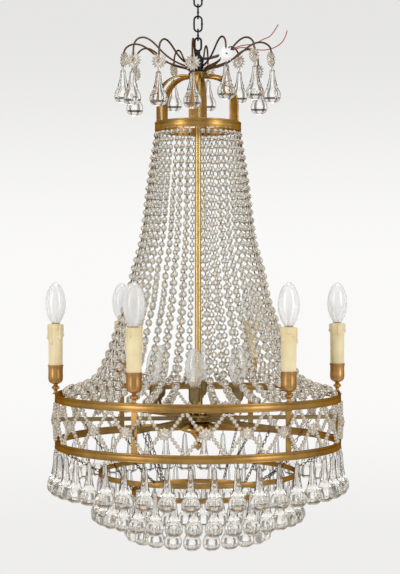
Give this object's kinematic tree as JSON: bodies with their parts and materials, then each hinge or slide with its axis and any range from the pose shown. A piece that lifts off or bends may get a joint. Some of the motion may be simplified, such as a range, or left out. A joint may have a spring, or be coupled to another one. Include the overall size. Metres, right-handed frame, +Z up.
{
  "type": "crystal chandelier",
  "caption": "Basket chandelier of crystal bead strands between brass rings, with candle lights and tiers of glass drops, hung by its chain.",
  "frame": {"origin": "centre of the bore in the hanger's upper eye", "axes": "+Z up, +X along the bore and to the right of the pictured view, front towards -Y"},
  "size_m": [0.5282, 0.526, 0.9943],
  "materials": {
    "dark_iron": "blackened, half matt",
    "patinated_brass": "dark brown patina with worn edges",
    "gilt_brass": "antique gilt, satin",
    "copper_brass": "coppery lacquered brass, polished",
    "crystal": "clear lead crystal",
    "bulb_glass": "clear bulb glass",
    "milky_glass": "frosted bulb glass",
    "wax": "cream waxed card with drips",
    "holder": "glazed",
    "black_sheath": "matt",
    "red_insulation": "smooth"
  },
  "bodies": {
    "hanger": {"ceiling_hanger": "dark_iron"},
    "chain": {"suspension_chain": "dark_iron"},
    "chandelier": {"stem_loop": "dark_iron", "crown_hub": "patinated_brass", "upper_ring": "gilt_brass", "crown_straps": "gilt_brass", "crown_wires": "patinated_brass", "crown_rosettes": "crystal", "central_rod": "gilt_brass", "bead_strands": "crystal", "main_band_upper": "gilt_brass", "main_band_lower": "gilt_brass", "gallery_uprights": "gilt_brass", "gallery_stars": "crystal", "gallery_lattice": "crystal", "spider_arms": "patinated_brass", "spider_hub": "patinated_brass", "hub_dish": "gilt_brass", "hub_finial": "copper_brass", "candle_cups": "copper_brass", "candle_sleeves": "wax", "lamp_holders": "holder", "inner_brackets": "patinated_brass", "inner_cups": "copper_brass", "middle_hoop": "gilt_brass", "inner_hoop": "gilt_brass", "tier_1_drops": "crystal", "tier_2_drops": "crystal", "tier_3_drops": "crystal", "middle_hoop_chains": "patinated_brass", "inner_hoop_chains": "patinated_brass", "supply_sheath": "black_sheath", "upper_lead": "red_insulation", "lower_lead": "red_insulation"},
    "drop_01": {"crown_drop_01": "crystal"},
    "drop_02": {"crown_drop_02": "crystal"},
    "drop_03": {"crown_drop_03": "crystal"},
    "drop_04": {"crown_drop_04": "crystal"},
    "drop_05": {"crown_drop_05": "crystal"},
    "drop_06": {"crown_drop_06": "crystal"},
    "drop_07": {"crown_drop_07": "crystal"},
    "drop_08": {"crown_drop_08": "crystal"},
    "drop_09": {"crown_drop_09": "crystal"},
    "drop_10": {"crown_drop_10": "crystal"},
    "drop_11": {"crown_drop_11": "crystal"},
    "drop_12": {"crown_drop_12": "crystal"},
    "candle_bulb_1_body": {"candle_bulb_1": "bulb_glass"},
    "candle_bulb_2_body": {"candle_bulb_2": "bulb_glass"},
    "candle_bulb_3_body": {"candle_bulb_3": "bulb_glass"},
    "candle_bulb_4_body": {"candle_bulb_4": "bulb_glass"},
    "candle_bulb_5_body": {"candle_bulb_5": "bulb_glass"},
    "candle_bulb_6_body": {"candle_bulb_6": "bulb_glass"},
    "inner_bulb_1_body": {"inner_bulb_1": "milky_glass"},
    "inner_bulb_2_body": {"inner_bulb_2": "milky_glass"},
    "inner_bulb_3_body": {"inner_bulb_3": "milky_glass"},
    "inner_bulb_4_body": {"inner_bulb_4": "milky_glass"},
    "inner_bulb_5_body": {"inner_bulb_5": "milky_glass"},
    "inner_bulb_6_body": {"inner_bulb_6": "milky_glass"}
  },
  "joints": [
    {"name": "chain_swing", "type": "hinge", "parent": "hanger", "child": "chain", "pos_m": [0, 0, -0.0292], "axis": [0, 1, 0], "range_deg": [-12, 12]},
    {"name": "chandelier_swing", "type": "hinge", "parent": "chain", "child": "chandelier", "pos_m": [0, 0, -0.1054], "axis": [1, 0, 0], "range_deg": [-12, 12]},
    {"name": "drop_swing_01", "type": "hinge", "parent": "chandelier", "child": "drop_01", "pos_m": [0.12863, -0.02734, -0.16026], "axis": [0.2079, 0.9781, 0], "range_deg": [-20, 20]},
    {"name": "drop_swing_02", "type": "hinge", "parent": "chandelier", "child": "drop_02", "pos_m": [0.09617, -0.08968, -0.16326], "axis": [0.682, 0.7314, 0], "range_deg": [-20, 20]},
    {"name": "drop_swing_03", "type": "hinge", "parent": "chandelier", "child": "drop_03", "pos_m": [0.04713, -0.12277, -0.16726], "axis": [0.9336, 0.3584, 0], "range_deg": [-20, 20]},
    {"name": "drop_swing_04", "type": "hinge", "parent": "chandelier", "child": "drop_04", "pos_m": [-0.00917, -0.13118, -0.18326], "axis": [0.9976, -0.0698, 0], "range_deg": [-20, 20]},
    {"name": "drop_swing_05", "type": "hinge", "parent": "chandelier", "child": "drop_05", "pos_m": [-0.06575, -0.11388, -0.17726], "axis": [0.866, -0.5, 0], "range_deg": [-20, 20]},
    {"name": "drop_swing_06", "type": "hinge", "parent": "chandelier", "child": "drop_06", "pos_m": [-0.11152, -0.06968, -0.16926], "axis": [0.5299, -0.848, 0], "range_deg": [-20, 20]},
    {"name": "drop_swing_07", "type": "hinge", "parent": "chandelier", "child": "drop_07", "pos_m": [-0.1315, 0, -0.15626], "axis": [0, -1, 0], "range_deg": [-20, 20]},
    {"name": "drop_swing_08", "type": "hinge", "parent": "chandelier", "child": "drop_08", "pos_m": [-0.11388, 0.06575, -0.17026], "axis": [-0.5, -0.866, 0], "range_deg": [-20, 20]},
    {"name": "drop_swing_09", "type": "hinge", "parent": "chandelier", "child": "drop_09", "pos_m": [-0.04498, 0.12357, -0.15526], "axis": [-0.9397, -0.342, 0], "range_deg": [-20, 20]},
    {"name": "drop_swing_10", "type": "hinge", "parent": "chandelier", "child": "drop_10", "pos_m": [0.0183, 0.13022, -0.15426], "axis": [-0.9903, 0.1392, 0], "range_deg": [-20, 20]},
    {"name": "drop_swing_11", "type": "hinge", "parent": "chandelier", "child": "drop_11", "pos_m": [0.07543, 0.10772, -0.14226], "axis": [-0.8192, 0.5736, 0], "range_deg": [-20, 20]},
    {"name": "drop_swing_12", "type": "hinge", "parent": "chandelier", "child": "drop_12", "pos_m": [0.11028, 0.07162, -0.16726], "axis": [-0.5446, 0.8387, 0], "range_deg": [-20, 20]},
    {"name": "candle_bulb_1_turn", "type": "hinge", "parent": "chandelier", "child": "candle_bulb_1_body", "pos_m": [0.14577, -0.20064, -0.6066], "axis": [0, 0, 1], "range_deg": [0, 1080]},
    {"name": "candle_bulb_2_turn", "type": "hinge", "parent": "chandelier", "child": "candle_bulb_2_body", "pos_m": [-0.10087, -0.22656, -0.6066], "axis": [0, 0, 1], "range_deg": [0, 1080]},
    {"name": "candle_bulb_3_turn", "type": "hinge", "parent": "chandelier", "child": "candle_bulb_3_body", "pos_m": [-0.24664, -0.02592, -0.6066], "axis": [0, 0, 1], "range_deg": [0, 1080]},
    {"name": "candle_bulb_4_turn", "type": "hinge", "parent": "chandelier", "child": "candle_bulb_4_body", "pos_m": [-0.14577, 0.20064, -0.6066], "axis": [0, 0, 1], "range_deg": [0, 1080]},
    {"name": "candle_bulb_5_turn", "type": "hinge", "parent": "chandelier", "child": "candle_bulb_5_body", "pos_m": [0.10087, 0.22656, -0.6066], "axis": [0, 0, 1], "range_deg": [0, 1080]},
    {"name": "candle_bulb_6_turn", "type": "hinge", "parent": "chandelier", "child": "candle_bulb_6_body", "pos_m": [0.24664, 0.02592, -0.6066], "axis": [0, 0, 1], "range_deg": [0, 1080]},
    {"name": "inner_bulb_1_turn", "type": "hinge", "parent": "chandelier", "child": "inner_bulb_1_body", "pos_m": [-0.00572, -0.0818, -0.7131], "axis": [0, 0, 1], "range_deg": [0, 1080]},
    {"name": "inner_bulb_2_turn", "type": "hinge", "parent": "chandelier", "child": "inner_bulb_2_body", "pos_m": [-0.0737, -0.03595, -0.7131], "axis": [0, 0, 1], "range_deg": [0, 1080]},
    {"name": "inner_bulb_3_turn", "type": "hinge", "parent": "chandelier", "child": "inner_bulb_3_body", "pos_m": [-0.06798, 0.04585, -0.7131], "axis": [0, 0, 1], "range_deg": [0, 1080]},
    {"name": "inner_bulb_4_turn", "type": "hinge", "parent": "chandelier", "child": "inner_bulb_4_body", "pos_m": [0.00572, 0.0818, -0.7131], "axis": [0, 0, 1], "range_deg": [0, 1080]},
    {"name": "inner_bulb_5_turn", "type": "hinge", "parent": "chandelier", "child": "inner_bulb_5_body", "pos_m": [0.0737, 0.03595, -0.7131], "axis": [0, 0, 1], "range_deg": [0, 1080]},
    {"name": "inner_bulb_6_turn", "type": "hinge", "parent": "chandelier", "child": "inner_bulb_6_body", "pos_m": [0.06798, -0.04585, -0.7131], "axis": [0, 0, 1], "range_deg": [0, 1080]}
  ]
}
